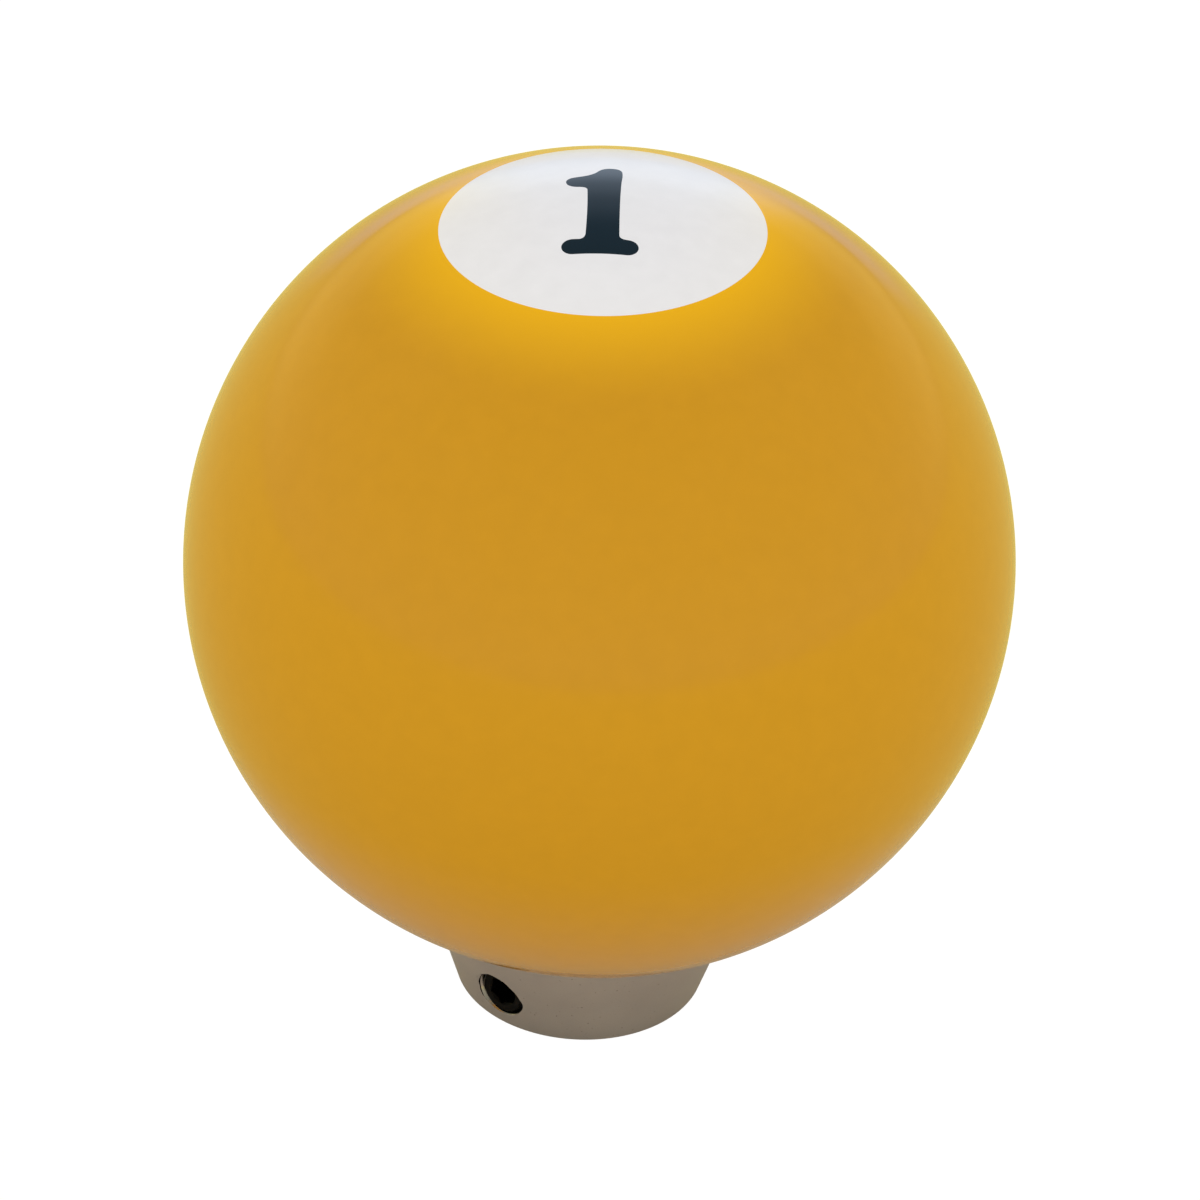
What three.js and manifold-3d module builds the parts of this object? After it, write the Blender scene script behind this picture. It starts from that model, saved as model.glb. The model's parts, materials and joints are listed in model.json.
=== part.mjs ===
// A number 1 pool ball made up as a lever knob: a cast resin ball with a cast-in number disc and numeral,
// on a tapered metal collar that holds a threaded lever adapter with three radial grub screws.
// Millimetres, +Z up. The origin is the centre of the collar's foot, and the numeral reads upright from -Y.
// The ball is drilled a little off the middle of its disc, so the disc's axis leans from the knob's.

import * as THREE from "three";
import { mergeVertices } from "three/addons/utils/BufferGeometryUtils.js";
import Module from "manifold-3d";

const manifold = await Module();
manifold.setup();

// ---- Driving dimensions ----
const BALL_RADIUS = 57.15 / 2; // regulation ball, 2 1/4 in
const OVERALL_HEIGHT = 63.5; // 2 1/2 in, foot to crown
const DISC_RADIUS = 10.9; // edge of the white disc, measured across
const DISC_THICKNESS = 7; // from the crown down
const NUMERAL_THICKNESS = 2.5; // from the crown down
const DISC_LEAN = 1.9; // degrees that the disc's axis leans towards -X, about the ball's centre
const FOOT_RADIUS = 8.9;
const COLLAR_TOP_RADIUS = 11.55; // where the collar meets the ball
const FOOT_CHAMFER = 0.3;
const SPIGOT_RADIUS = 7;
const SPIGOT_TOP = 26;
const BORE_RADIUS = 5.2; // the collar's smooth bore
const BORE_DEPTH = 23;
const INSERT_WALL = 1.7;
const ADAPTER_RADIUS = 4.9;
const LEVER_THREAD_RADIUS = 3.3; // inside the crests of an M8 thread
const GROOVE_RADIUS = 4.5;
const SCREW_HEIGHT = 3.1; // centre of the radial holes above the foot
const SCREW_RADIUS = 1.85;
const SCREW_LENGTH = 4;
const SCREW_TIP_AT = 5.25; // distance of a backed-off tip from the axis
const SCREW_CHAMFER = 0.3;
const SCREW_COUNT = 3;
const FIRST_SCREW_ANGLE = 235; // degrees from +X
const TAPPED_HOLE_RADIUS = 2;
const HEX_ACROSS_FLATS = 2;
const HEX_DEPTH = 1.5;
const KNURL_COUNT = 32;
const KNURL_DEPTH = 0.35;
const GAP = 0.3; // between bonded or nested pieces
const ROUND_STEPS = 64; // sides of a full turn
const SMALL_ROUND_STEPS = 32;

// ---- Sizes worked out from them ----
const BALL_CENTRE = OVERALL_HEIGHT - BALL_RADIUS;
const JOINT_HEIGHT = BALL_CENTRE - Math.sqrt(BALL_RADIUS ** 2 - COLLAR_TOP_RADIUS ** 2);
const COLLAR_SLOPE = (COLLAR_TOP_RADIUS - FOOT_RADIUS) / JOINT_HEIGHT;
const DISC_FLOOR = OVERALL_HEIGHT - DISC_THICKNESS;
const NUMERAL_FLOOR = OVERALL_HEIGHT - NUMERAL_THICKNESS;
const INSERT_INNER_RADIUS = SPIGOT_RADIUS + GAP;
const INSERT_OUTER_RADIUS = INSERT_INNER_RADIUS + INSERT_WALL;
const INSERT_TOP = SPIGOT_TOP + GAP;
const SOCKET_RADIUS = INSERT_OUTER_RADIUS + GAP;
const SOCKET_TOP = INSERT_TOP + GAP;
const ADAPTER_TOP = BORE_DEPTH - GAP;
const GROOVE_HALF_WIDTH = SCREW_RADIUS + GAP;

// ---- Helpers ----
const radians = THREE.MathUtils.degToRad;

function point(radius, height) {
  return new THREE.Vector2(radius, height);
}

// Points of an arc of the ball's own surface, from one radius to another, on the lower or upper half.
function ballArc(fromRadius, toRadius, fromSide, toSide, steps) {
  const start = Math.atan2(fromSide * Math.sqrt(BALL_RADIUS ** 2 - fromRadius ** 2), fromRadius);
  const end = Math.atan2(toSide * Math.sqrt(BALL_RADIUS ** 2 - toRadius ** 2), toRadius);
  const points = [];
  for (let step = 0; step <= steps; step += 1) {
    const angle = start + ((end - start) * step) / steps;
    points.push(point(BALL_RADIUS * Math.cos(angle), BALL_CENTRE + BALL_RADIUS * Math.sin(angle)));
  }
  return points;
}

// Turns an outline of radius and height about +Z. The outline ends on the axis, or closes on itself.
function turned(outline, steps = ROUND_STEPS) {
  const geometry = new THREE.LatheGeometry(outline, steps);
  geometry.rotateX(Math.PI / 2);
  return geometry;
}

function extruded(shape, bottom, top, curveSteps) {
  const geometry = new THREE.ExtrudeGeometry(shape, {
    depth: top - bottom,
    bevelEnabled: false,
    curveSegments: curveSteps,
  });
  geometry.translate(0, 0, bottom);
  return geometry;
}

function toSolid(geometry) {
  const bare = geometry.clone();
  bare.deleteAttribute("normal");
  bare.deleteAttribute("uv");
  const merged = mergeVertices(bare, 1e-5);
  const mesh = new manifold.Mesh({
    numProp: 3,
    vertProperties: new Float32Array(merged.attributes.position.array),
    triVerts: new Uint32Array(merged.index.array),
  });
  return new manifold.Manifold(mesh);
}

function toGeometry(solid) {
  const mesh = solid.getMesh();
  const geometry = new THREE.BufferGeometry();
  geometry.setAttribute("position", new THREE.BufferAttribute(mesh.vertProperties, 3));
  geometry.setIndex(new THREE.BufferAttribute(mesh.triVerts, 1));
  geometry.computeVertexNormals();
  return geometry;
}

// Leans a piece made upright, as the disc and its numeral lean in the ball.
function leaned(geometry) {
  geometry.translate(0, 0, -BALL_CENTRE);
  geometry.rotateY(radians(-DISC_LEAN));
  geometry.translate(0, 0, BALL_CENTRE);
  return geometry;
}

// Lays a piece made along +Z on a radius of the knob: its foot at the given distance from the axis.
function alongRadius(geometry, angle, distance, height) {
  geometry.rotateY(Math.PI / 2);
  geometry.translate(distance, 0, height);
  geometry.rotateZ(radians(angle));
  return geometry;
}

function screwAngle(index) {
  return FIRST_SCREW_ANGLE + (index * 360) / SCREW_COUNT;
}

// ---- Materials ----
const materials = {
  yellowResin: new THREE.MeshStandardMaterial({ color: 0xe0a81c, roughness: 0.12, metalness: 0 }),
  whiteResin: new THREE.MeshStandardMaterial({ color: 0xe9e8e4, roughness: 0.12, metalness: 0 }),
  blackResin: new THREE.MeshStandardMaterial({ color: 0x14161c, roughness: 0.15, metalness: 0 }),
  platedSteel: new THREE.MeshStandardMaterial({ color: 0xa39a90, roughness: 0.25, metalness: 1 }),
  brass: new THREE.MeshStandardMaterial({ color: 0xb8954f, roughness: 0.35, metalness: 1 }),
  blackSteel: new THREE.MeshStandardMaterial({ color: 0x202124, roughness: 0.45, metalness: 1 }),
};

// ---- Ball, disc and numeral ----

// A ball with a leaned pocket in its crown for the disc, and a spot face and blind socket from below.
function ballBody() {
  const ball = turned([
    point(0, SOCKET_TOP),
    point(SOCKET_RADIUS, SOCKET_TOP),
    point(SOCKET_RADIUS, JOINT_HEIGHT),
    ...ballArc(COLLAR_TOP_RADIUS, 0, -1, 1, 32),
  ]);
  const pocketRadius = DISC_RADIUS + GAP;
  const pocketFloor = DISC_FLOOR - GAP;
  const pocketTop = OVERALL_HEIGHT + 1;
  const pocket = turned([
    point(0, pocketFloor),
    point(pocketRadius, pocketFloor),
    point(pocketRadius, pocketTop),
    point(0, pocketTop),
  ]);
  return toGeometry(toSolid(ball).subtract(toSolid(leaned(pocket))));
}

// A plug down to the given floor whose top is the ball's own surface.
function crownPlug(radius, floor) {
  return turned([point(0, floor), point(radius, floor), ...ballArc(radius, 0, 1, 1, 8)]);
}

// The numeral's three strokes in plan, each made larger all round by the given margin.
function numeralStrokes(margin) {
  const baseHalfHeight = 0.75;
  const baseLeft = -1.85;
  const baseRight = 1.72;
  const baseCentre = -4.98;
  const base = new THREE.Shape();
  base.absarc(baseLeft, baseCentre, baseHalfHeight + margin, Math.PI / 2, (3 * Math.PI) / 2, false);
  base.absarc(baseRight, baseCentre, baseHalfHeight + margin, -Math.PI / 2, Math.PI / 2, false);

  const stemLeft = -1.02;
  const stemRight = 1.14;
  const shoulderRadius = 0.74;
  const top = new THREE.Vector2(stemRight - shoulderRadius, 5.3);
  // Where the flag meets the stem's top.
  const notch = new THREE.Vector2(-0.31 - 0.8 * margin, 4.92 + 0.6 * margin);
  const stem = new THREE.Shape();
  stem.moveTo(stemLeft - margin, baseCentre);
  stem.lineTo(stemRight + margin, baseCentre);
  stem.absarc(top.x, top.y - shoulderRadius, shoulderRadius + margin, 0, Math.PI / 2, false);
  stem.quadraticCurveTo(-0.06, top.y + margin, notch.x, notch.y);
  stem.lineTo(stemLeft - margin, 2.85);

  const tipRadius = 0.71;
  const tip = new THREE.Vector2(-1.83, 2.88);
  const flag = new THREE.Shape();
  flag.moveTo(notch.x, notch.y);
  flag.lineTo(-0.31, 2.05 - margin);
  flag.lineTo(tip.x, tip.y - tipRadius - margin);
  flag.absarc(tip.x, tip.y, tipRadius + margin, (3 * Math.PI) / 2, Math.PI / 2, true);
  flag.quadraticCurveTo(-0.82, 3.8 + margin, notch.x, notch.y);
  return [base, stem, flag];
}

function numeralSolid(margin, floor) {
  const top = OVERALL_HEIGHT + 1;
  return numeralStrokes(margin)
    .map((stroke) => toSolid(extruded(stroke, floor, top, 8)))
    .reduce((whole, stroke) => whole.add(stroke));
}

function numeralOne() {
  const crown = toSolid(crownPlug(DISC_RADIUS, NUMERAL_FLOOR));
  return leaned(toGeometry(numeralSolid(0, NUMERAL_FLOOR).intersect(crown)));
}

function numberDisc() {
  const plug = toSolid(crownPlug(DISC_RADIUS, DISC_FLOOR));
  return leaned(toGeometry(plug.subtract(numeralSolid(GAP, NUMERAL_FLOOR - GAP))));
}

// ---- Metal parts ----

// A tube with a straight knurl round its outside, open at both ends.
function coreInsert() {
  const bottom = JOINT_HEIGHT + GAP;
  const ring = new THREE.Shape();
  for (let tooth = 0; tooth < KNURL_COUNT; tooth += 1) {
    const crest = (2 * Math.PI * tooth) / KNURL_COUNT;
    const root = crest + Math.PI / KNURL_COUNT;
    const rootRadius = INSERT_OUTER_RADIUS - KNURL_DEPTH;
    const draw = tooth === 0 ? "moveTo" : "lineTo";
    ring[draw](INSERT_OUTER_RADIUS * Math.cos(crest), INSERT_OUTER_RADIUS * Math.sin(crest));
    ring.lineTo(rootRadius * Math.cos(root), rootRadius * Math.sin(root));
  }
  ring.closePath();
  const bore = new THREE.Path();
  bore.absarc(0, 0, INSERT_INNER_RADIUS, 0, 2 * Math.PI, true);
  ring.holes.push(bore);
  return extruded(ring, bottom, INSERT_TOP, ROUND_STEPS / 2);
}

// A tapered collar with a spigot above and a blind bore from below, drilled for the grub screws.
function collar() {
  const boreChamfer = 0.4;
  const spigotChamfer = 0.5;
  const body = toSolid(
    turned([
      point(0, BORE_DEPTH),
      point(BORE_RADIUS, BORE_DEPTH),
      point(BORE_RADIUS, boreChamfer),
      point(BORE_RADIUS + boreChamfer, 0),
      point(FOOT_RADIUS - FOOT_CHAMFER, 0),
      point(FOOT_RADIUS + COLLAR_SLOPE * FOOT_CHAMFER, FOOT_CHAMFER),
      point(COLLAR_TOP_RADIUS, JOINT_HEIGHT),
      point(SPIGOT_RADIUS, JOINT_HEIGHT),
      point(SPIGOT_RADIUS, SPIGOT_TOP - spigotChamfer),
      point(SPIGOT_RADIUS - spigotChamfer, SPIGOT_TOP),
      point(0, SPIGOT_TOP),
    ]),
  );
  const drillStart = BORE_RADIUS - 1;
  const drillLength = COLLAR_TOP_RADIUS - drillStart;
  let drilled = body;
  for (let index = 0; index < SCREW_COUNT; index += 1) {
    const drill = turned(
      [
        point(0, 0),
        point(TAPPED_HOLE_RADIUS, 0),
        point(TAPPED_HOLE_RADIUS, drillLength),
        point(0, drillLength),
      ],
      SMALL_ROUND_STEPS,
    );
    drilled = drilled.subtract(toSolid(alongRadius(drill, screwAngle(index), drillStart, SCREW_HEIGHT)));
  }
  return toGeometry(drilled);
}

// A bushing threaded for the lever, with a groove round it for the tips of the grub screws.
function threadAdapter() {
  const chamfer = 0.4;
  const grooveBottom = SCREW_HEIGHT - GROOVE_HALF_WIDTH;
  const grooveTop = SCREW_HEIGHT + GROOVE_HALF_WIDTH;
  return turned(
    [
      point(LEVER_THREAD_RADIUS + chamfer, 0),
      point(ADAPTER_RADIUS - chamfer, 0),
      point(ADAPTER_RADIUS, chamfer),
      point(ADAPTER_RADIUS, grooveBottom),
      point(GROOVE_RADIUS, grooveBottom),
      point(GROOVE_RADIUS, grooveTop),
      point(ADAPTER_RADIUS, grooveTop),
      point(ADAPTER_RADIUS, ADAPTER_TOP - chamfer),
      point(ADAPTER_RADIUS - chamfer, ADAPTER_TOP),
      point(LEVER_THREAD_RADIUS + chamfer, ADAPTER_TOP),
      point(LEVER_THREAD_RADIUS, ADAPTER_TOP - chamfer),
      point(LEVER_THREAD_RADIUS, chamfer),
      point(LEVER_THREAD_RADIUS + chamfer, 0),
    ],
    ROUND_STEPS,
  );
}

// A headless screw with a flat tip, bevelled ends and a hexagon socket in its outer end.
function setScrew(index) {
  const blank = toSolid(
    turned(
      [
        point(0, 0),
        point(SCREW_RADIUS - SCREW_CHAMFER, 0),
        point(SCREW_RADIUS, SCREW_CHAMFER),
        point(SCREW_RADIUS, SCREW_LENGTH - SCREW_CHAMFER),
        point(SCREW_RADIUS - SCREW_CHAMFER, SCREW_LENGTH),
        point(0, SCREW_LENGTH),
      ],
      SMALL_ROUND_STEPS,
    ),
  );
  const cornerRadius = HEX_ACROSS_FLATS / Math.sqrt(3);
  const socketFloor = SCREW_LENGTH - HEX_DEPTH;
  const socket = turned(
    [
      point(0, socketFloor),
      point(cornerRadius, socketFloor),
      point(cornerRadius, SCREW_LENGTH + 1),
      point(0, SCREW_LENGTH + 1),
    ],
    6,
  );
  const screw = toGeometry(blank.subtract(toSolid(socket)));
  return alongRadius(screw, screwAngle(index), SCREW_TIP_AT, SCREW_HEIGHT);
}

// ---- Assembly ----
const knob = new THREE.Group();

function addPiece(name, geometry, material) {
  const mesh = new THREE.Mesh(geometry, material);
  mesh.name = name;
  knob.add(mesh);
}

addPiece("ball_body", ballBody(), materials.yellowResin);
addPiece("number_disc", numberDisc(), materials.whiteResin);
addPiece("numeral_one", numeralOne(), materials.blackResin);
addPiece("core_insert", coreInsert(), materials.brass);
addPiece("collar", collar(), materials.platedSteel);
addPiece("thread_adapter", threadAdapter(), materials.brass);
for (let index = 0; index < SCREW_COUNT; index += 1) {
  addPiece(`set_screw_${index + 1}`, setScrew(index), materials.blackSteel);
}

export default knob;
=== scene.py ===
"""A number 1 pool ball made up as a lever knob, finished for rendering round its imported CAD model.

Metres, +Z up, in the CAD model's frame: the origin is the centre of the collar's foot, and the numeral
reads upright from -Y. Every piece takes its place and outer sizes from the frame.
"""

import json
import math

import bmesh
import bpy
from mathutils import Matrix, Vector


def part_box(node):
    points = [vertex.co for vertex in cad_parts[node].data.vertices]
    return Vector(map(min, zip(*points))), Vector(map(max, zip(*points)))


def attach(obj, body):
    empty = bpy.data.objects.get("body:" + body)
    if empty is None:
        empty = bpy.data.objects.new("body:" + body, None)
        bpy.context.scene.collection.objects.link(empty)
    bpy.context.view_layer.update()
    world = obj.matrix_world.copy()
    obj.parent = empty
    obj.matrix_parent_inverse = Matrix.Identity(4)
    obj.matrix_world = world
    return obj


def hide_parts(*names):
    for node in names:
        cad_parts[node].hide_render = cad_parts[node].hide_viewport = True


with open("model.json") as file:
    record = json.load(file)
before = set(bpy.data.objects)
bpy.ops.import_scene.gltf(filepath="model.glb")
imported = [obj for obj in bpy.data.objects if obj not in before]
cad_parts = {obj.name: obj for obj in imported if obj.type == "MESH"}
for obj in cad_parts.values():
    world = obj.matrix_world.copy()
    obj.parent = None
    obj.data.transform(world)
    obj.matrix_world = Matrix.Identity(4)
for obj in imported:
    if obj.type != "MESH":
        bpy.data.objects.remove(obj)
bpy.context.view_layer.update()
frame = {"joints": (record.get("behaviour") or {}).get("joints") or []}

MM = 0.001

# ---- Sizes read from the frame ----
ball_low, ball_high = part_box("ball_body")
disc_low, disc_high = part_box("number_disc")
insert_low, insert_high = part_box("core_insert")
collar_low, collar_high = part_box("collar")
adapter_low, adapter_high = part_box("thread_adapter")
screw_low, screw_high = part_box("set_screw_1")

BALL_RADIUS = round((ball_high.y - ball_low.y) / 2 / MM, 3) * MM
JOINT_HEIGHT = ball_low.z
COLLAR_TOP_RADIUS = (collar_high.y - collar_low.y) / 2
BALL_CENTRE = Vector((0, 0, JOINT_HEIGHT + math.sqrt(BALL_RADIUS**2 - COLLAR_TOP_RADIUS**2)))
CROWN = BALL_CENTRE.z + BALL_RADIUS
DISC_RADIUS = (disc_high.y - disc_low.y) / 2
# How far the disc's axis leans towards -X, in radians, from the place of its lower rim.
DISC_LEAN = math.asin(-disc_low.x / BALL_RADIUS) - math.asin(DISC_RADIUS / BALL_RADIUS)
SPIGOT_TOP = collar_high.z
INSERT_RADIUS = (insert_high.y - insert_low.y) / 2
INSERT_BOTTOM = insert_low.z
INSERT_TOP = insert_high.z
ADAPTER_RADIUS = (adapter_high.y - adapter_low.y) / 2
ADAPTER_TOP = adapter_high.z
SCREW_HEIGHT = (screw_low.z + screw_high.z) / 2
SCREW_MIDDLE = ((screw_low + screw_high) / 2).xy.length  # distance from the knob's axis
SCREW_JOINTS = [joint for joint in frame["joints"] if joint["name"].startswith("set_screw")]

# ---- Sizes that the frame's boxes don't tell ----
DISC_FLOOR = CROWN - 7 * MM
NUMERAL_FLOOR = CROWN - 2.5 * MM
FOOT_RADIUS = 8.9 * MM
TAPER_SLOPE = (COLLAR_TOP_RADIUS - FOOT_RADIUS) / JOINT_HEIGHT  # the collar's radius grows so with height
TAPER = math.atan(TAPER_SLOPE)
FOOT_ROUNDING = 0.25 * MM
TURNED_BEVEL = 0.4 * MM
EDGE_ROUNDING = 0.12 * MM
BORE_RADIUS = 5.2 * MM
BORE_DEPTH = 23 * MM
SPIGOT_RADIUS = 7 * MM
ADAPTER_GROOVE_RADIUS = 4.5 * MM
SCREW_LENGTH = 4 * MM
HEX_ACROSS_FLATS = 2 * MM
HEX_DEPTH = 1.5 * MM
KNURL_COUNT = 60
KNURL_DEPTH = 0.35 * MM
BOND_GAP = 0.1 * MM  # the glue line round the insert
BOND_HEADROOM = 0.3 * MM  # and over its top

# Threads as (largest radius, smallest radius, pitch).
SCREW_HOLE_THREAD = (2.04 * MM, 1.87 * MM, 0.7 * MM)
SCREW_HOLE_BEVEL = 0.08 * MM
SCREW_THREAD = (1.95 * MM, 1.56 * MM, 0.7 * MM)
LEVER_THREAD = (4.0 * MM, 3.32 * MM, 1.25 * MM)
LEVER_THREAD_START = 1.7  # degrees, which keeps the thread's corners off those of the countersinks
SCREW_THREAD_START = 145  # degrees round each screw hole at which its thread starts
SPIGOT_THREAD = (7.0 * MM, 6.4 * MM, 1.0 * MM)
INSERT_THREAD = (7.05 * MM, 6.45 * MM, 1.0 * MM)

OVERLAP = MM  # how far a cutter runs past what it cuts

# ---- How finely the meshes are divided ----
FINE_ROUND = 256  # steps round the ball, the disc and the collar
ROUND = 96
SMALL_ROUND = 64
THREAD_ROUND = 48
BALL_STEPS = 160  # steps along the ball's surface, from under it to the disc
CROWN_STEPS = 24  # steps from the disc's edge to its middle
CORNER_STEPS = 8  # steps round a rounded edge
SHARP_DEGREES = 30  # edges sharper than this are shaded sharp


# ---------------------------------------------------------------- mesh helpers

def shaded(mesh):
    mesh.shade_smooth()
    mesh.set_sharp_from_angle(angle=math.radians(SHARP_DEGREES))
    return mesh


def new_object(name, build):
    """A mesh object of that name, filled by the build function."""
    made = bmesh.new()
    build(made)
    bmesh.ops.recalc_face_normals(made, faces=made.faces)
    mesh = bpy.data.meshes.new(name)
    made.to_mesh(mesh)
    made.free()
    shaded(mesh)
    piece = bpy.data.objects.new(name, mesh)
    bpy.context.scene.collection.objects.link(piece)
    return piece


def on_circle(radius, step, steps):
    """The plan point that is so many of the equal steps round a circle."""
    angle = 2 * math.pi * step / steps
    return radius * math.cos(angle), radius * math.sin(angle)


def turned(name, profile, steps):
    """A solid of revolution from (radius, height) points, the first and the last of them on the axis."""

    def build(made):
        rings = []
        for radius, height in profile:
            if radius == 0:
                rings.append([made.verts.new((0, 0, height))])
                continue
            plan = [on_circle(radius, step, steps) for step in range(steps)]
            rings.append([made.verts.new((x, y, height)) for x, y in plan])
        for lower, upper in zip(rings, rings[1:]):
            for step in range(steps):
                ahead = (step + 1) % steps
                corners = [lower[step % len(lower)], lower[ahead % len(lower)]]
                corners += [upper[ahead % len(upper)], upper[step % len(upper)]]
                unique = list(dict.fromkeys(corners))
                if len(unique) > 2:
                    made.faces.new(unique)

    return new_object(name, build)


def arc(centre, radius, start_degrees, end_degrees, steps):
    """Points of an arc as (across, up), from one angle to the other."""
    points = []
    for step in range(steps + 1):
        angle = math.radians(start_degrees + (end_degrees - start_degrees) * step / steps)
        points.append((centre[0] + radius * math.cos(angle), centre[1] + radius * math.sin(angle)))
    return points


def ball_arc(start_radius, end_radius, steps, start_side=1):
    """Points of the ball's surface from one distance off the axis to another.

    The first is above the ball's middle, or below it if its side is -1, and the last is above.
    """
    start = start_side * math.acos(start_radius / BALL_RADIUS)
    end = math.acos(end_radius / BALL_RADIUS)
    points = arc((0, BALL_CENTRE.z), BALL_RADIUS, math.degrees(start), math.degrees(end), steps)
    if end_radius == 0:
        points[-1] = (0, CROWN)
    return points


def prism(name, outline, bottom, top):
    """A straight extrusion of a closed plan outline."""

    def build(made):
        lower = [made.verts.new((x, y, bottom)) for x, y in outline]
        upper = [made.verts.new((x, y, top)) for x, y in outline]
        made.faces.new(list(reversed(lower)))
        made.faces.new(upper)
        for index in range(len(outline)):
            ahead = (index + 1) % len(outline)
            made.faces.new([lower[index], lower[ahead], upper[ahead], upper[index]])

    return new_object(name, build)


def threaded_rod(name, thread, bottom, top, steps=THREAD_ROUND):
    """A right-hand screw thread with flat crests and roots.

    It is longer at both ends than it says by a turn or more.
    """
    largest, smallest, pitch = thread
    # Height, as a part of the pitch, and radius of each corner of the thread's profile.
    corners = [(0, largest), (1 / 8, largest), (7 / 16, smallest), (11 / 16, smallest)]
    per_turn = len(corners)
    first_turn = math.floor(bottom / pitch) - 2
    turns = math.ceil(top / pitch) + 2 - first_turn

    def build(made):
        rows = []
        for row in range(per_turn * turns + 1):
            part, radius = corners[row % per_turn]
            ring = []
            for step in range(steps):
                height = (first_turn + row // per_turn + part + step / steps) * pitch
                ring.append(made.verts.new((*on_circle(radius, step, steps), height)))
            rows.append(ring)
        last = len(rows) - 1
        for row in range(last):
            for step in range(steps - 1):
                near, far = rows[row], rows[row + 1]
                made.faces.new([near[step], near[step + 1], far[step + 1], far[step]])
        for row in range(last - per_turn):
            above, next_above = rows[row + per_turn], rows[row + per_turn + 1]
            made.faces.new([rows[row][-1], above[0], next_above[0], rows[row + 1][-1]])
        lower_tip = made.verts.new((0, 0, (first_turn - 1) * pitch))
        upper_tip = made.verts.new((0, 0, (first_turn + turns + 2) * pitch))
        lower_rim = rows[0] + [rows[row][0] for row in range(per_turn, 0, -1)]
        upper_rim = rows[last] + [rows[last - row][-1] for row in range(1, per_turn + 1)]
        for rim, tip in ((lower_rim, lower_tip), (upper_rim, upper_tip)):
            for index in range(len(rim)):
                made.faces.new([rim[index], rim[(index + 1) % len(rim)], tip])

    return new_object(name, build)


def combine(piece, tool, operation):
    """Cuts, joins or intersects the piece with the tool, and removes the tool."""
    modifier = piece.modifiers.new(operation, "BOOLEAN")
    modifier.operation = operation
    modifier.object = tool
    modifier.solver = "EXACT"
    depsgraph = bpy.context.evaluated_depsgraph_get()
    mesh = bpy.data.meshes.new_from_object(piece.evaluated_get(depsgraph))
    piece.modifiers.clear()
    piece.data = shaded(mesh)
    piece.data.name = piece.name
    bpy.data.objects.remove(tool)
    return piece


def leaned(piece):
    """Leans a piece made upright about the ball's centre, as the disc and its numeral lean."""
    lean = Matrix.Rotation(-DISC_LEAN, 4, "Y")
    there = Matrix.Translation(BALL_CENTRE)
    piece.data.transform(there @ lean @ there.inverted())
    return piece


def smooth_as(piece, normal_at):
    """Gives the faces that lie on a known surface that surface's exact normals, whatever cuts they have."""
    alike = 0.995  # the least cosine between the face's own normal and the surface's
    mesh = piece.data
    normals = [Vector((0, 0, 0))] * len(mesh.loops)
    for face in mesh.polygons:
        if face.normal.dot(normal_at(face.center)) < alike:
            continue
        for loop in face.loop_indices:
            normals[loop] = normal_at(mesh.vertices[mesh.loops[loop].vertex_index].co)
    mesh.normals_split_custom_set(normals)
    return piece


def ball_normal(point):
    return (point - BALL_CENTRE).normalized()


def collar_normal(point):
    """Square to the collar's taper, which narrows downwards."""
    outward = Vector((point.x, point.y, 0)).normalized()
    return outward * math.cos(TAPER) - Vector((0, 0, math.sin(TAPER)))


# ---------------------------------------------------------------- camera

CAMERA_DISTANCE = 14 * BALL_RADIUS
CAMERA_ELEVATION = 34.1  # degrees
CAMERA_ROLL = 2.9  # degrees
VIEW_WIDTH_AT_BALL = 82.5 * MM  # what the picture takes in across, at the ball's centre
BALL_ABOVE_MIDDLE = 2.61 * MM  # how far the ball's centre shows above the picture's middle
BALL_LEFT_OF_MIDDLE = 0.04 * MM
SENSOR_WIDTH = 36


def add_camera():
    camera = bpy.data.objects.new("camera", bpy.data.cameras.new("camera"))
    camera.data.sensor_fit = "HORIZONTAL"
    camera.data.sensor_width = SENSOR_WIDTH
    camera.data.lens = SENSOR_WIDTH * CAMERA_DISTANCE / VIEW_WIDTH_AT_BALL
    camera.data.clip_start = 10 * MM
    tilt = Matrix.Rotation(math.radians(90 - CAMERA_ELEVATION), 3, "X")
    turn = tilt @ Matrix.Rotation(math.radians(CAMERA_ROLL), 3, "Z")
    ball_in_view = Vector((-BALL_LEFT_OF_MIDDLE, BALL_ABOVE_MIDDLE, -CAMERA_DISTANCE))
    camera.location = BALL_CENTRE - turn @ ball_in_view
    camera.rotation_euler = turn.to_euler()
    bpy.context.scene.collection.objects.link(camera)
    bpy.context.scene.camera = camera


# ---------------------------------------------------------------- materials

YELLOW = (0.60, 0.285, 0.01)
# Painted highlight: the lighter yellow that the ball is painted with round the disc.
PAINTED_HIGHLIGHT_YELLOW = (0.83, 0.43, 0.006)
WHITE = (0.81, 0.798, 0.80)
BLACK = (0.002, 0.012, 0.02)
NICKEL, DULL_NICKEL = (0.61, 0.595, 0.655), (0.56, 0.545, 0.605)
BRASS, DULL_BRASS = (0.75, 0.55, 0.24), (0.66, 0.46, 0.18)
OXIDE, RUBBED_OXIDE = (0.006, 0.006, 0.007), (0.018, 0.018, 0.02)

RESIN_ROUGHNESS = 0.1
RESIN_IOR = 1.5
PAINTED_HIGHLIGHT_REACH = 36  # degrees from the disc's axis at which the painted highlight round the disc ends
PAINTED_HIGHLIGHT_FALL = 1.6  # above 1, the painted highlight fades faster near the disc

# About how many features each noise has in a metre.
CLOUDS = 700
HAZE_PATCHES = 400
TOOL_MARKS = 9000
DULL_PATCHES = 300
PITS = 6000
OXIDE_GRAIN = 2500
PIT_EDGE = (0.8, 0.85)  # the noise values between which a pit starts, so that pits are few


def new_material(name):
    """A material, its node tree and its shader."""
    material = bpy.data.materials.new(name)
    material.use_nodes = True
    nodes = material.node_tree.nodes
    return material, material.node_tree, nodes["Principled BSDF"]


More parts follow.
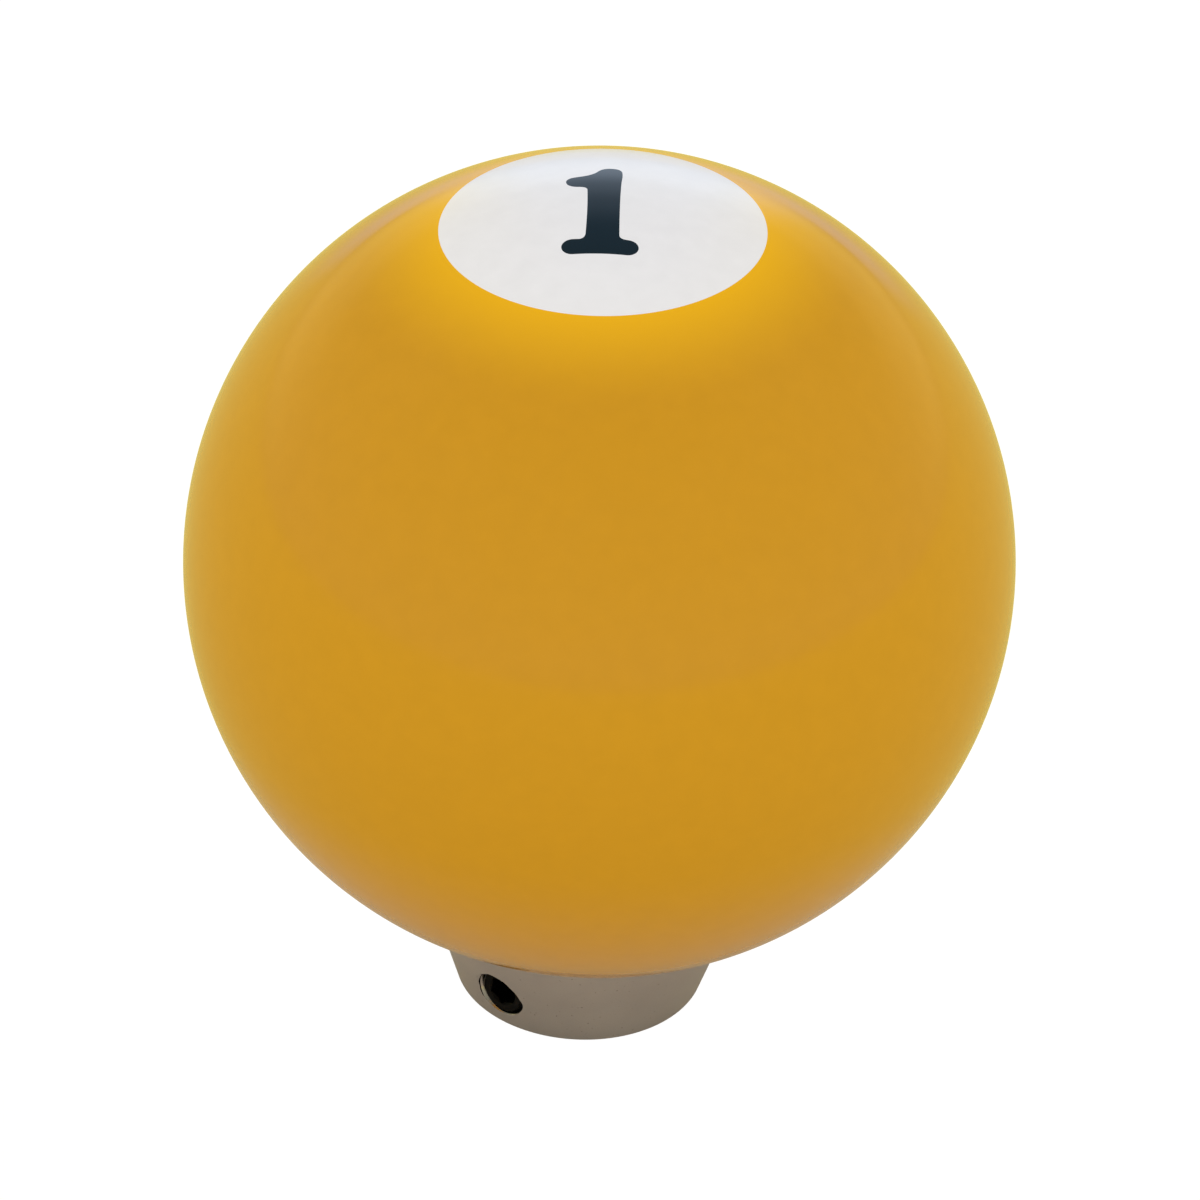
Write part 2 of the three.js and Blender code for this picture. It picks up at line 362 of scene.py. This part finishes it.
def add_node(tree, kind, **settings):
    node = tree.nodes.new(kind)
    for key, value in settings.items():
        if key in node.inputs:
            node.inputs[key].default_value = value
        else:
            setattr(node, key, value)
    return node


def noise_at(tree, scale, detail, stretch=(1, 1, 1)):
    """Noise in the object's own space, from 0 to 1. A low stretch draws it out along that axis."""
    place = add_node(tree, "ShaderNodeTexCoord")
    mapping = add_node(tree, "ShaderNodeMapping")
    mapping.inputs["Scale"].default_value = stretch
    noise = add_node(tree, "ShaderNodeTexNoise", Scale=scale, Detail=detail)
    tree.links.new(place.outputs["Object"], mapping.inputs["Vector"])
    tree.links.new(mapping.outputs["Vector"], noise.inputs["Vector"])
    return noise.outputs["Fac"]


def spread(tree, value, start=0, end=1, low=0, high=1, **settings):
    """The value's stretch from start to end, spread from low to high and held there beyond its ends."""
    node = add_node(tree, "ShaderNodeMapRange", **settings)
    limits = {"From Min": start, "From Max": end, "To Min": low, "To Max": high}
    for name, limit in limits.items():
        node.inputs[name].default_value = limit
    tree.links.new(value, node.inputs["Value"])
    return node.outputs["Result"]


def varied(tree, value, middle, share):
    """A number that strays from its middle by up to that share of it, as the value goes from 0 to 1."""
    return spread(tree, value, low=middle * (1 - share), high=middle * (1 + share))


def mixed(tree, share, first, second):
    """The first colour where the share is 0 and the second where it is 1.

    Each is a plain colour or a node's output.
    """
    mix = add_node(tree, "ShaderNodeMix", data_type="RGBA")
    tree.links.new(share, mix.inputs[0])
    for colour, slot in ((first, mix.inputs[6]), (second, mix.inputs[7])):
        if isinstance(colour, tuple):
            slot.default_value = (*colour, 1)
        else:
            tree.links.new(colour, slot)
    return mix.outputs[2]


def scaled(colour, factor):
    return tuple(channel * factor for channel in colour)


def blended(tree, value, first, second):
    """A colour between two, chosen by the value, which seldom strays far from 0.5."""
    ramp = add_node(tree, "ShaderNodeValToRGB")
    for element, position, colour in zip(ramp.color_ramp.elements, (0.3, 0.7), (first, second)):
        element.position = position
        element.color = (*colour, 1)
    tree.links.new(value, ramp.inputs["Fac"])
    return ramp.outputs["Color"]


def bumped(tree, shader, value, distance, strength):
    bump = add_node(tree, "ShaderNodeBump", Strength=strength, Distance=distance)
    tree.links.new(value, bump.inputs["Height"])
    tree.links.new(bump.outputs["Normal"], shader.inputs["Normal"])


def resin(name, colour):
    """Cast phenolic resin, polished: a trace of clouding in its colour and of haze in its gloss."""
    material, tree, shader = new_material(name)
    clouding = 0.015
    darker, lighter = scaled(colour, 1 - clouding), scaled(colour, 1 + clouding)
    clouds = noise_at(tree, CLOUDS, 3)
    tree.links.new(blended(tree, clouds, darker, lighter), shader.inputs["Base Color"])
    haze = noise_at(tree, HAZE_PATCHES, 4)
    tree.links.new(varied(tree, haze, RESIN_ROUGHNESS, share=0.2), shader.inputs["Roughness"])
    shader.inputs["IOR"].default_value = RESIN_IOR
    return material


def nearness_to_disc(tree):
    """How near a point of the ball is to the disc's axis: the cosine of its angle from it."""
    place = add_node(tree, "ShaderNodeTexCoord")
    shift = add_node(tree, "ShaderNodeVectorMath", operation="SUBTRACT")
    shift.inputs[1].default_value = BALL_CENTRE
    unit = add_node(tree, "ShaderNodeVectorMath", operation="NORMALIZE")
    along = add_node(tree, "ShaderNodeVectorMath", operation="DOT_PRODUCT")
    along.inputs[1].default_value = (-math.sin(DISC_LEAN), 0, math.cos(DISC_LEAN))
    tree.links.new(place.outputs["Object"], shift.inputs[0])
    tree.links.new(shift.outputs["Vector"], unit.inputs[0])
    tree.links.new(unit.outputs["Vector"], along.inputs[0])
    return along.outputs["Value"]


def yellow_resin():
    """The ball's resin, with a painted highlight: its yellow turns lighter round the disc."""
    material = resin("yellow_resin", YELLOW)
    tree = material.node_tree
    base_colour = tree.nodes["Principled BSDF"].inputs["Base Color"]
    # Painted highlight: the yellow is mixed towards a lighter one near the disc, fading out at the reach's
    # angle.
    highlight_end = math.cos(math.radians(PAINTED_HIGHLIGHT_REACH))
    disc_edge = math.sqrt(1 - (DISC_RADIUS / BALL_RADIUS) ** 2)
    painted_highlight = spread(tree, nearness_to_disc(tree), highlight_end, disc_edge)
    fade = add_node(tree, "ShaderNodeMath", operation="POWER")
    fade.inputs[1].default_value = PAINTED_HIGHLIGHT_FALL
    tree.links.new(painted_highlight, fade.inputs[0])
    body = base_colour.links[0].from_socket
    tree.links.new(mixed(tree, fade.outputs["Value"], body, PAINTED_HIGHLIGHT_YELLOW), base_colour)
    return material


def turned_metal(name, colour, dull, roughness, mark_depth):
    """Turned metal with fine rings left by the tool, about the knob's axis, and a few pin-point pits."""
    material, tree, shader = new_material(name)
    shader.inputs["Metallic"].default_value = 1
    marks = noise_at(tree, TOOL_MARKS, 2, stretch=(0.02, 0.02, 1))
    patchy = blended(tree, noise_at(tree, DULL_PATCHES, 3), dull, colour)
    pits = spread(tree, noise_at(tree, PITS, 0), *PIT_EDGE)
    pit_colour = scaled(dull, 0.4)
    tree.links.new(mixed(tree, pits, patchy, pit_colour), shader.inputs["Base Color"])
    tree.links.new(varied(tree, marks, roughness, share=0.25), shader.inputs["Roughness"])
    bumped(tree, shader, marks, distance=mark_depth, strength=0.6)
    return material


def black_oxide():
    """Blackened steel: a dull film with a fine grain, rubbed a little brighter here and there."""
    material, tree, shader = new_material("black_oxide")
    shader.inputs["Metallic"].default_value = 1
    grain = noise_at(tree, OXIDE_GRAIN, 4)
    tree.links.new(blended(tree, grain, OXIDE, RUBBED_OXIDE), shader.inputs["Base Color"])
    tree.links.new(spread(tree, grain, low=0.35, high=0.55), shader.inputs["Roughness"])
    bumped(tree, shader, grain, distance=0.01 * MM, strength=0.5)
    return material


# ---------------------------------------------------------------- ball, disc and numeral

def curve_to(points, control, end, steps=8):
    """Adds a curved stretch from the last point, pulled towards the control point."""
    start = points[-1]
    for step in range(1, steps + 1):
        t = step / steps
        at_start, at_control, at_end = (1 - t) ** 2, 2 * t * (1 - t), t * t
        axes = zip(start, control, end)
        points.append(tuple(at_start * s + at_control * c + at_end * e for s, c, e in axes))


def numeral_outline():
    """The numeral in plan: a bulb-ended foot, a waisted stem and a rounded flag, in metres."""
    foot_round = 0.75
    foot_height = -4.98
    foot_left, foot_right = -1.85, 1.72
    foot_edge = foot_height - foot_round
    points = [(foot_left, foot_edge)]
    curve_to(points, (-0.1, foot_edge + 0.08), (foot_right, foot_edge))
    points += arc((foot_right, foot_height), foot_round, -90, 85, 16)[1:]
    curve_to(points, (1.18, -4.2), (1.17, -3.77))
    curve_to(points, (1.08, 0.29), (1.15, 3.03))
    curve_to(points, (1.24, 4.4), (1.12, 4.79))
    curve_to(points, (0.99, 5.3), (0.36, 5.3))
    curve_to(points, (-0.16, 5.3), (-0.46, 4.74))
    curve_to(points, (-0.75, 4.08), (-1.56, 3.83))
    curve_to(points, (-2.02, 3.72), (-2.24, 3.6))
    curve_to(points, (-2.6, 3.34), (-2.54, 2.9))
    curve_to(points, (-2.47, 2.28), (-1.8, 2.16))
    curve_to(points, (-1.12, 2.17), (-1.09, 1.73))
    curve_to(points, (-0.98, -0.72), (-1.05, -3.67))
    curve_to(points, (-1.08, -4.17), (-1.45, -4.23))
    points += arc((foot_left, foot_height), foot_round, 90, 270, 16)[:-1]
    return [(x * MM, y * MM) for x, y in points]


def crown_plug(name, radius, floor):
    """A plug whose top is the ball's own surface."""
    return turned(name, [(0, floor), (radius, floor), *ball_arc(radius, 0, CROWN_STEPS)], FINE_ROUND)


def numeral_prism(name):
    return prism(name, numeral_outline(), NUMERAL_FLOOR, CROWN + OVERLAP)


def build_ball(material):
    """The ball, turned about the disc's own axis and cut for the collar and insert about the knob's."""
    first_radius = MM  # of the ring next to the ball's lowest point
    surface = [(0, BALL_CENTRE.z - BALL_RADIUS)]
    surface += ball_arc(first_radius, DISC_RADIUS, BALL_STEPS, start_side=-1)
    pocket = [(DISC_RADIUS, DISC_FLOOR), (0, DISC_FLOOR)]
    ball = leaned(turned("ball_resin", surface + pocket, FINE_ROUND))
    wide = COLLAR_TOP_RADIUS + OVERLAP
    socket_radius = INSERT_RADIUS + BOND_GAP
    socket_top = INSERT_TOP + BOND_HEADROOM
    rim = COLLAR_TOP_RADIUS - EDGE_ROUNDING
    cut = [(0, 0), (wide, 0), (wide, JOINT_HEIGHT + EDGE_ROUNDING / 2), (rim, JOINT_HEIGHT)]
    cut += [(socket_radius, JOINT_HEIGHT), (socket_radius, socket_top), (0, socket_top)]
    combine(ball, turned("ball_cut", cut, FINE_ROUND), "DIFFERENCE")
    smooth_as(ball, ball_normal)
    return finish_piece(ball, material, "knob", "ball_body")


def build_disc(material):
    disc = crown_plug("number_plug", DISC_RADIUS, DISC_FLOOR)
    combine(disc, numeral_prism("numeral_cut"), "DIFFERENCE")
    smooth_as(leaned(disc), ball_normal)
    return finish_piece(disc, material, "knob", "number_disc")


def build_numeral(material):
    numeral = crown_plug("numeral_inlay", DISC_RADIUS * 0.8, NUMERAL_FLOOR)
    combine(numeral, numeral_prism("numeral_blank"), "INTERSECT")
    smooth_as(leaned(numeral), ball_normal)
    return finish_piece(numeral, material, "knob", "numeral_one")


# ---------------------------------------------------------------- metal parts

def outward_turn(joint, start_degrees=0):
    """A turn that takes +Z to the screw's own outward direction at its height, and +Y to the knob's up.

    The piece is first turned about its own +Z by the start angle.
    """
    turn = Vector(joint["axis"]).to_track_quat("Z", "Y").to_matrix().to_4x4()
    start = Matrix.Rotation(math.radians(start_degrees), 4, "Z")
    return Matrix.Translation((0, 0, SCREW_HEIGHT)) @ turn @ start


def mouth_bevel(hole_radius, width):
    """A cutter that takes the edge off a radial hole by the same width all round its mouth in the taper."""
    margin = 0.2 * MM  # how far the cutter runs past the bevel, both inwards and outwards
    deep_rim = (hole_radius - margin, -width - margin)
    shallow_rim = (hole_radius + width + margin, margin)

    def surface(across, up):
        collar_radius = FOOT_RADIUS + TAPER_SLOPE * (SCREW_HEIGHT + up)
        return math.sqrt(collar_radius**2 - across**2)

    def build(made):
        rims = []
        for radius, rise in (deep_rim, shallow_rim):
            rim = []
            for step in range(SMALL_ROUND):
                across, up = on_circle(radius, step, SMALL_ROUND)
                rim.append(made.verts.new((across, up, surface(across, up) + rise)))
            rims.append((rim, made.verts.new((0, 0, surface(0, 0) + rise))))
        (inner, inner_middle), (outer, outer_middle) = rims
        for step in range(SMALL_ROUND):
            ahead = (step + 1) % SMALL_ROUND
            made.faces.new([inner[step], inner[ahead], outer[ahead], outer[step]])
            made.faces.new([inner[ahead], inner[step], inner_middle])
            made.faces.new([outer[step], outer[ahead], outer_middle])

    return new_object("mouth_bevel", build)


def thread_die(thread, bottom, top):
    """A cutter shaped like a die: a sleeve whose bore is the thread."""
    wide = thread[0] + OVERLAP
    sleeve = turned("die", [(0, bottom), (wide, bottom), (wide, top), (0, top)], ROUND)
    return combine(sleeve, threaded_rod("die_thread", thread, bottom, top, ROUND), "DIFFERENCE")


def collar_profile(relief):
    """The collar's section: its bore, its rounded foot and top, and its spigot with a relief under it."""
    taper_degrees = math.degrees(TAPER)
    foot_centre = (FOOT_RADIUS - FOOT_ROUNDING, FOOT_ROUNDING)
    top_centre = (COLLAR_TOP_RADIUS - EDGE_ROUNDING, JOINT_HEIGHT - EDGE_ROUNDING)
    neck_radius = SPIGOT_THREAD[1] - relief
    profile = [(0, BORE_DEPTH), (BORE_RADIUS, BORE_DEPTH)]
    profile += [(BORE_RADIUS, TURNED_BEVEL), (BORE_RADIUS + TURNED_BEVEL, 0)]
    profile += arc(foot_centre, FOOT_ROUNDING, -90, -taper_degrees, CORNER_STEPS)
    profile += arc(top_centre, EDGE_ROUNDING, -taper_degrees, 90, CORNER_STEPS)
    profile += [(neck_radius, JOINT_HEIGHT), (neck_radius, JOINT_HEIGHT + relief)]
    profile += [(SPIGOT_RADIUS, JOINT_HEIGHT + 2 * relief), (SPIGOT_RADIUS, SPIGOT_TOP - relief)]
    profile += [(SPIGOT_RADIUS - relief, SPIGOT_TOP), (0, SPIGOT_TOP)]
    return profile


def build_collar(material):
    """The turned collar, its three tapped and bevelled screw holes, and the thread on its spigot."""
    relief = 0.5 * MM
    collar = turned("plated_collar", collar_profile(relief), FINE_ROUND)
    for joint in SCREW_JOINTS:
        tap = threaded_rod("tap", SCREW_HOLE_THREAD, BORE_RADIUS - OVERLAP, COLLAR_TOP_RADIUS)
        tap.data.transform(outward_turn(joint, SCREW_THREAD_START))
        combine(collar, tap, "DIFFERENCE")
        bevel = mouth_bevel(SCREW_HOLE_THREAD[1], SCREW_HOLE_BEVEL)
        bevel.data.transform(outward_turn(joint))
        combine(collar, bevel, "DIFFERENCE")
    die = thread_die(SPIGOT_THREAD, JOINT_HEIGHT + relief, SPIGOT_TOP + OVERLAP)
    combine(collar, die, "DIFFERENCE")
    smooth_as(collar, collar_normal)
    return finish_piece(collar, material, "knob", "collar")


def build_adapter(material):
    """The bushing on the lever, with a groove for the screws' tips and a countersunk thread right through."""
    groove_half = (screw_high.z - screw_low.z) / 2 + 0.3 * MM
    groove_low, groove_high = SCREW_HEIGHT - groove_half, SCREW_HEIGHT + groove_half
    end_radius = ADAPTER_RADIUS - TURNED_BEVEL
    profile = [(0, 0), (end_radius, 0), (ADAPTER_RADIUS, TURNED_BEVEL)]
    profile += [(ADAPTER_RADIUS, groove_low), (ADAPTER_GROOVE_RADIUS, groove_low)]
    profile += [(ADAPTER_GROOVE_RADIUS, groove_high), (ADAPTER_RADIUS, groove_high)]
    profile += [(ADAPTER_RADIUS, ADAPTER_TOP - TURNED_BEVEL), (end_radius, ADAPTER_TOP), (0, ADAPTER_TOP)]
    adapter = turned("lever_adapter", profile, ROUND)
    mouth_radius = LEVER_THREAD[0] + 0.1 * MM
    cone_size = mouth_radius + OVERLAP
    for base, inwards in ((-OVERLAP, 1), (ADAPTER_TOP + OVERLAP, -1)):
        cone = [(0, base), (cone_size, base), (0, base + inwards * cone_size)]
        combine(adapter, turned("countersink", cone, SMALL_ROUND), "DIFFERENCE")
    tap = threaded_rod("tap", LEVER_THREAD, 0, ADAPTER_TOP)
    tap.data.transform(Matrix.Rotation(math.radians(LEVER_THREAD_START), 4, "Z"))
    combine(adapter, tap, "DIFFERENCE")
    return finish_piece(adapter, material, "adapter", "thread_adapter")


def build_screw(joint, material):
    """A threaded cup-point screw with bevelled ends and a hexagon socket, in its hole."""
    largest = SCREW_THREAD[0]
    end_bevel, tip_bevel = 0.35 * MM, 0.56 * MM
    cup_radius, cup_depth = 0.9 * MM, 0.3 * MM
    tip, end = SCREW_MIDDLE - SCREW_LENGTH / 2, SCREW_MIDDLE + SCREW_LENGTH / 2
    blank = [(0, tip + cup_depth), (cup_radius, tip)]
    blank += [(largest - tip_bevel, tip), (largest, tip + tip_bevel)]
    blank += [(largest, end - end_bevel), (largest - end_bevel, end), (0, end)]
    screw = turned(joint["child"] + "_grub", blank, SMALL_ROUND)
    combine(screw, threaded_rod("thread", SCREW_THREAD, tip, end), "INTERSECT")
    corner = HEX_ACROSS_FLATS / math.sqrt(3)
    socket = arc((0, 0), corner, 0, 300, 5)
    combine(screw, prism("socket", socket, end - HEX_DEPTH, end + OVERLAP), "DIFFERENCE")
    rise = 0.15 * MM  # how far the bevel's cone runs past the screw's end
    cone = [(0, end - corner), (corner + rise, end + rise), (0, end + rise)]
    combine(screw, turned("socket_bevel", cone, SMALL_ROUND), "DIFFERENCE")
    screw.data.transform(outward_turn(joint, SCREW_THREAD_START))
    return finish_piece(screw, material, joint["child"], joint["child"])


def build_insert(material):
    """A brass tube, threaded inside and knurled outside, bonded in the ball."""
    outline = []
    for tooth in range(KNURL_COUNT):
        outline.append(on_circle(INSERT_RADIUS, tooth, KNURL_COUNT))
        outline.append(on_circle(INSERT_RADIUS - KNURL_DEPTH, tooth + 0.5, KNURL_COUNT))
    insert = prism("brass_insert", outline, INSERT_BOTTOM, INSERT_TOP)
    tap = threaded_rod("tap", INSERT_THREAD, INSERT_BOTTOM, INSERT_TOP, ROUND)
    combine(insert, tap, "DIFFERENCE")
    return finish_piece(insert, material, "knob", "core_insert")


# ---------------------------------------------------------------- assembly

def finish_piece(piece, material, body, node):
    """Gives the piece its one material and the body it moves with, and hides the CAD part it stands for."""
    piece.data.materials.clear()
    piece.data.materials.append(material)
    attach(piece, body)
    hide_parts(node)
    return piece


def build_pieces():
    yellow = yellow_resin()
    white = resin("white_resin", WHITE)
    black = resin("black_resin", BLACK)
    nickel = turned_metal("nickel_plate", NICKEL, DULL_NICKEL, roughness=0.22, mark_depth=0.01 * MM)
    brass = turned_metal("turned_brass", BRASS, DULL_BRASS, roughness=0.3, mark_depth=0.006 * MM)
    oxide = black_oxide()
    build_ball(yellow)
    build_disc(white)
    build_numeral(black)
    build_collar(nickel)
    build_insert(brass)
    build_adapter(brass)
    for joint in SCREW_JOINTS:
        build_screw(joint, oxide)


# ---------------------------------------------------------------- studio

FLOOR_HALF = 1.5
FLOOR_NEAR = (0.67, 0.61, 0.46)
FLOOR_FAR = (0.72, 0.635, 0.2)
FLOOR_BEHIND = (0.66, 0.65, 0.62)
FLOOR_FADE = (18 * MM, 45 * MM)  # distances from the knob between which the near colour turns to the far
BEHIND_FADE = (150 * MM, 500 * MM)  # and, behind the knob, the far colour to the one there
BEHIND_SIDES = (0.86, 0.95)  # cosines of the angle from straight behind, from where that begins
FLOOR_EVENNESS = 0.85  # how much of the floor's look is plain white, whatever shade falls on it
PAPER_BRIGHTNESS = 1.15

# Brightness by the sine of the height over the horizon.
TENT = [(-1, 1), (0, 1.7), (0.5, 1.04), (1, 0.87)]
ROOM_IN_FRONT = [(-1, 0.45), (0, 0.45), (0.3, 0.38), (0.6, 0.3), (1, 0.2)]
ROOM_BEHIND = [(-0.3, 0.2), (-0.06, 0.5), (0.05, 0.9), (0.2, 0.75), (0.35, 0.45)]
ROOM_BEHIND += [(0.56, 0.29), (0.83, 0.18)]
WINDOW = [(0, 0.75), (0.08, 0.95), (0.2, 1), (0.35, 0.62), (0.5, 0.4), (0.68, 0.2), (1, 0.15)]
WARM = (1, 0.93, 0.62)
HAZE = (1.06, 0.9, 0.32)
COOL = (0.85, 1, 1.22)
WINDOW_SIDES = (0.12, 0.35)  # how far to each side, out of 1, the window gives way to the room
FRONT_TO_BACK = (0.1, 0.8)  # how far back, out of 1, the front of the room gives way to the rest


def faded(tree, value, fade, first, second):
    """One colour up to the fade's start, another from its end, and a smooth change between them."""
    share = spread(tree, value, *fade, interpolation_type="SMOOTHSTEP")
    return mixed(tree, share, first, second)


def floor_colour(tree):
    """The colour of the light that the floor throws back, by the distance and direction from the knob."""
    place = add_node(tree, "ShaderNodeTexCoord")
    distance = add_node(tree, "ShaderNodeVectorMath", operation="LENGTH")
    direction = add_node(tree, "ShaderNodeVectorMath", operation="NORMALIZE")
    split = add_node(tree, "ShaderNodeSeparateXYZ")
    tree.links.new(place.outputs["Object"], distance.inputs[0])
    tree.links.new(place.outputs["Object"], direction.inputs[0])
    tree.links.new(direction.outputs["Vector"], split.inputs["Vector"])
    aside = faded(tree, distance.outputs["Value"], FLOOR_FADE, FLOOR_NEAR, FLOOR_FAR)
    behind = faded(tree, distance.outputs["Value"], BEHIND_FADE, aside, FLOOR_BEHIND)
    return faded(tree, split.outputs["Y"], BEHIND_SIDES, aside, behind)


def add_floor():
    """White paper that shows almost evenly lit, and throws a warm, softer light back up."""

    def build(made):
        corners = [(-1, -1), (1, -1), (1, 1), (-1, 1)]
        made.faces.new([made.verts.new((x * FLOOR_HALF, y * FLOOR_HALF, 0)) for x, y in corners])

    floor = new_object("floor", build)
    material, tree, shader = new_material("floor_paper")
    tree.links.new(floor_colour(tree), shader.inputs["Base Color"])
    shader.inputs["Roughness"].default_value = 1
    shader.inputs["Specular IOR Level"].default_value = 0
    paper = add_node(tree, "ShaderNodeEmission", Strength=PAPER_BRIGHTNESS)
    paper.inputs["Color"].default_value = (1, 1, 1, 1)
    path = add_node(tree, "ShaderNodeLightPath")
    share = add_node(tree, "ShaderNodeMath", operation="MULTIPLY")
    share.inputs[1].default_value = FLOOR_EVENNESS
    mix = add_node(tree, "ShaderNodeMixShader")
    tree.links.new(path.outputs["Is Camera Ray"], share.inputs[0])
    tree.links.new(share.outputs["Value"], mix.inputs[0])
    tree.links.new(shader.outputs["BSDF"], mix.inputs[1])
    tree.links.new(paper.outputs["Emission"], mix.inputs[2])
    tree.links.new(mix.outputs["Shader"], tree.nodes["Material Output"].inputs["Surface"])
    floor.data.materials.append(material)


def ramp_of(tree, value, stops, tint=(1, 1, 1)):
    """Brightnesses at heights from -1 to 1, blended smoothly between them and tinted."""
    ramp = add_node(tree, "ShaderNodeValToRGB")
    ramp.color_ramp.interpolation = "EASE"
    elements = ramp.color_ramp.elements
    while len(elements) < len(stops):
        elements.new(0.5)
    for element, (height, level) in zip(elements, stops):
        element.position = (height + 1) / 2
        element.color = (*scaled(tint, level), 1)
    tree.links.new(spread(tree, value, start=-1), ramp.inputs["Fac"])
    return ramp.outputs["Color"]


def add_world():
    """A white tent that lights the object evenly, and the dimmer, warmer room that its gloss mirrors.

    The room is brightest low down behind the object, with a cooler window straight behind.
    """
    world = bpy.data.worlds.new("studio")
    bpy.context.scene.world = world
    world.use_nodes = True
    world.cycles.sampling_method = "NONE"
    tree = world.node_tree
    tree.nodes.clear()
    place = add_node(tree, "ShaderNodeTexCoord")
    split = add_node(tree, "ShaderNodeSeparateXYZ")
    tree.links.new(place.outputs["Generated"], split.inputs["Vector"])

    height = split.outputs["Z"]
    ahead = ramp_of(tree, height, ROOM_IN_FRONT, WARM)
    behind = ramp_of(tree, height, ROOM_BEHIND, HAZE)
    window = ramp_of(tree, height, WINDOW, COOL)
    aside = add_node(tree, "ShaderNodeMath", operation="ABSOLUTE")
    tree.links.new(split.outputs["X"], aside.inputs[0])
    back = faded(tree, aside.outputs["Value"], WINDOW_SIDES, window, behind)
    room = faded(tree, split.outputs["Y"], FRONT_TO_BACK, ahead, back)
    mirrored = add_node(tree, "ShaderNodeBackground")
    tree.links.new(room, mirrored.inputs["Color"])

    tent = add_node(tree, "ShaderNodeBackground")
    tree.links.new(ramp_of(tree, height, TENT), tent.inputs["Color"])
    path = add_node(tree, "ShaderNodeLightPath")
    mix = add_node(tree, "ShaderNodeMixShader")
    output = add_node(tree, "ShaderNodeOutputWorld")
    tree.links.new(path.outputs["Is Glossy Ray"], mix.inputs[0])
    tree.links.new(tent.outputs["Background"], mix.inputs[1])
    tree.links.new(mirrored.outputs["Background"], mix.inputs[2])
    tree.links.new(mix.outputs["Shader"], output.inputs["Surface"])


def set_picture():
    settings = bpy.context.scene.view_settings
    settings.view_transform = "Standard"
    settings.look = "None"


add_camera()
build_pieces()
add_floor()
add_world()
set_picture()
